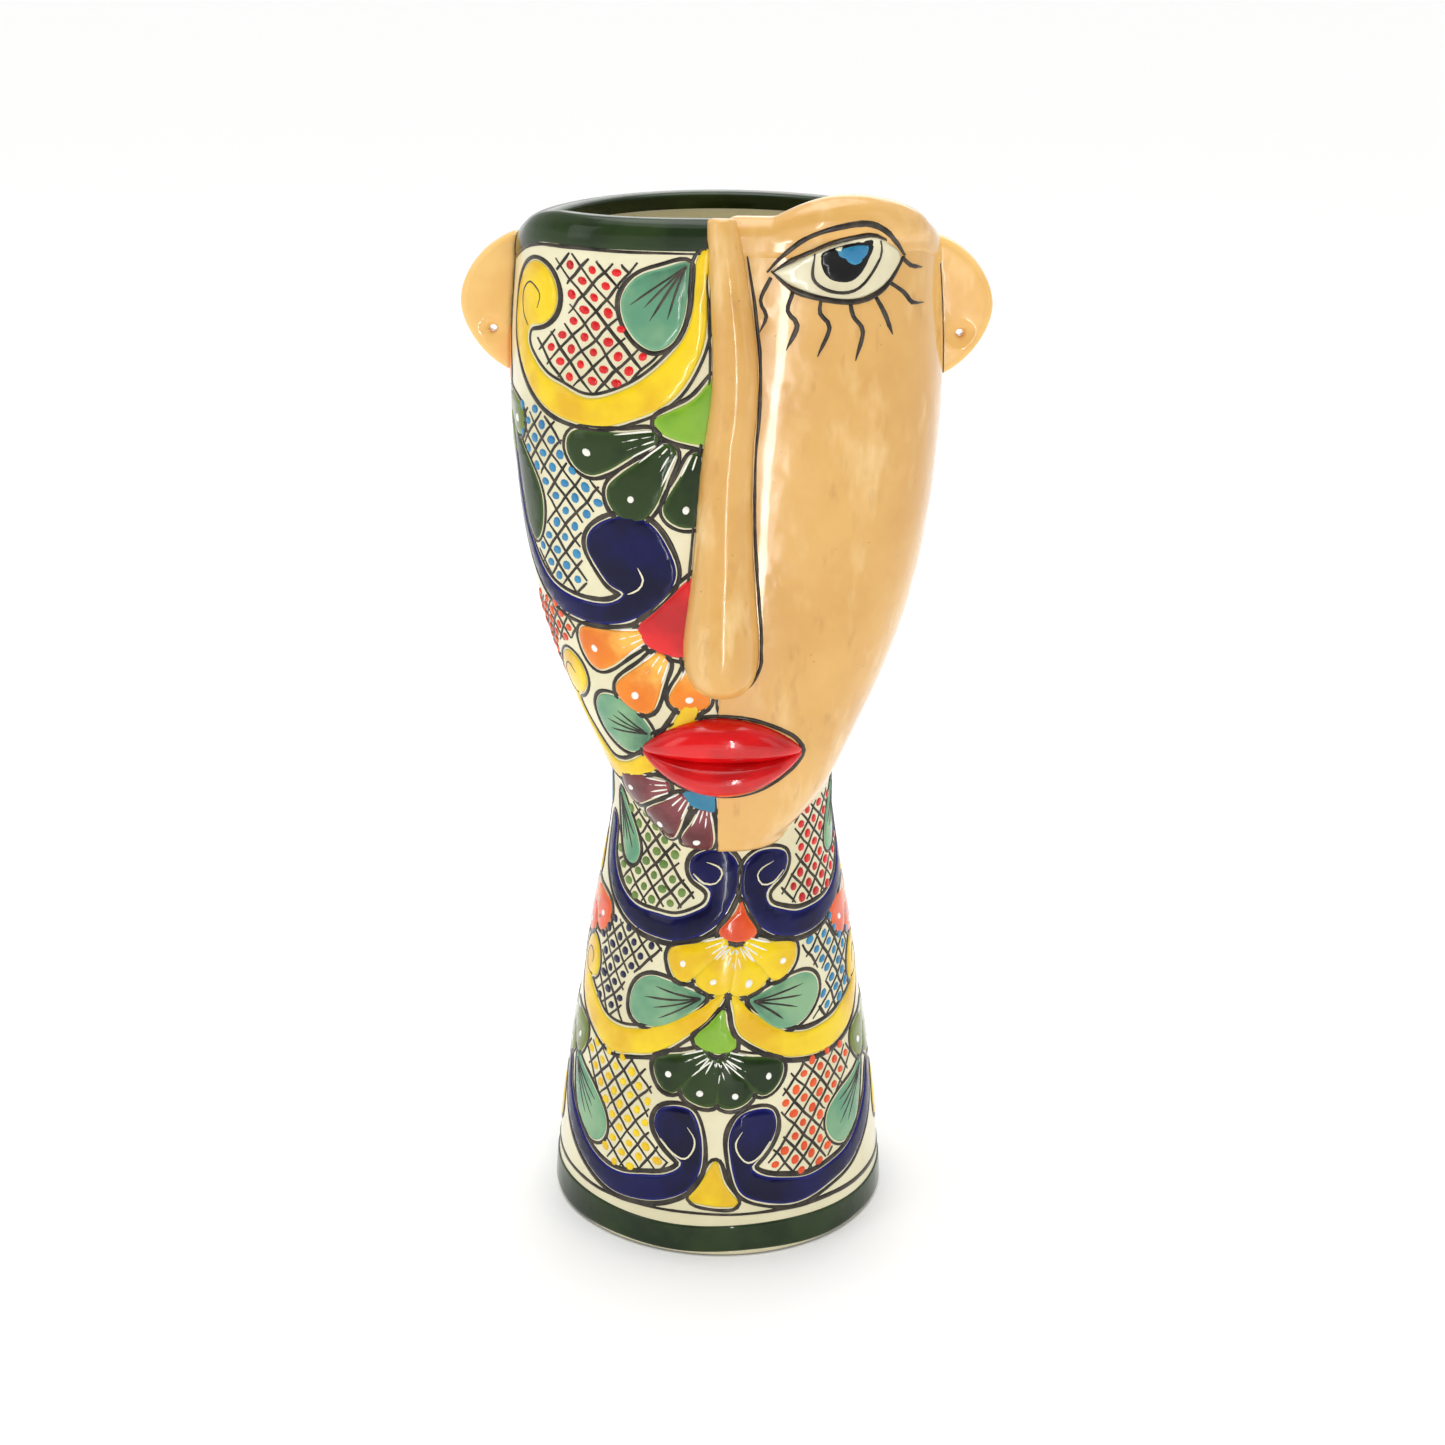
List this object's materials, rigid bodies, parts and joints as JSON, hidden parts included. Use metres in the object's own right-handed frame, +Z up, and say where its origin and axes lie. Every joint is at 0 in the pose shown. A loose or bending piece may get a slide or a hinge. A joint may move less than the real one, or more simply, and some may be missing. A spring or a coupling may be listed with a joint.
{
  "type": "talavera pottery face vase",
  "caption": "Tall glazed earthenware vase: a bowl shaped as a stylised face with nose, lips, brow and ears, on a flared neck that stands on a flat foot.",
  "frame": {"origin": "centre of the foot, on the surface that the vase stands on", "axes": "+Z up along the neck, -Y the way the face looks, +X towards the ear on the plain tan side"},
  "size_m": [0.2114, 0.1716, 0.4509],
  "materials": {
    "cream_glaze": "glossy cream tin glaze with painted ornament",
    "tan_glaze": "glossy ochre tan glaze",
    "green_glaze": "glossy dark green glaze",
    "red_glaze": "glossy red glaze",
    "bare_clay": "matte unglazed earthenware"
  },
  "bodies": {
    "root": {"foot_disc": "bare_clay", "neck_cone": "cream_glaze", "head_bowl": "cream_glaze", "rim_coil": "green_glaze", "brow_coil": "tan_glaze", "nose_strip": "tan_glaze", "upper_lip": "red_glaze", "lower_lip": "red_glaze", "painted_side_ear": "tan_glaze", "tan_side_ear": "tan_glaze"}
  },
  "joints": []
}
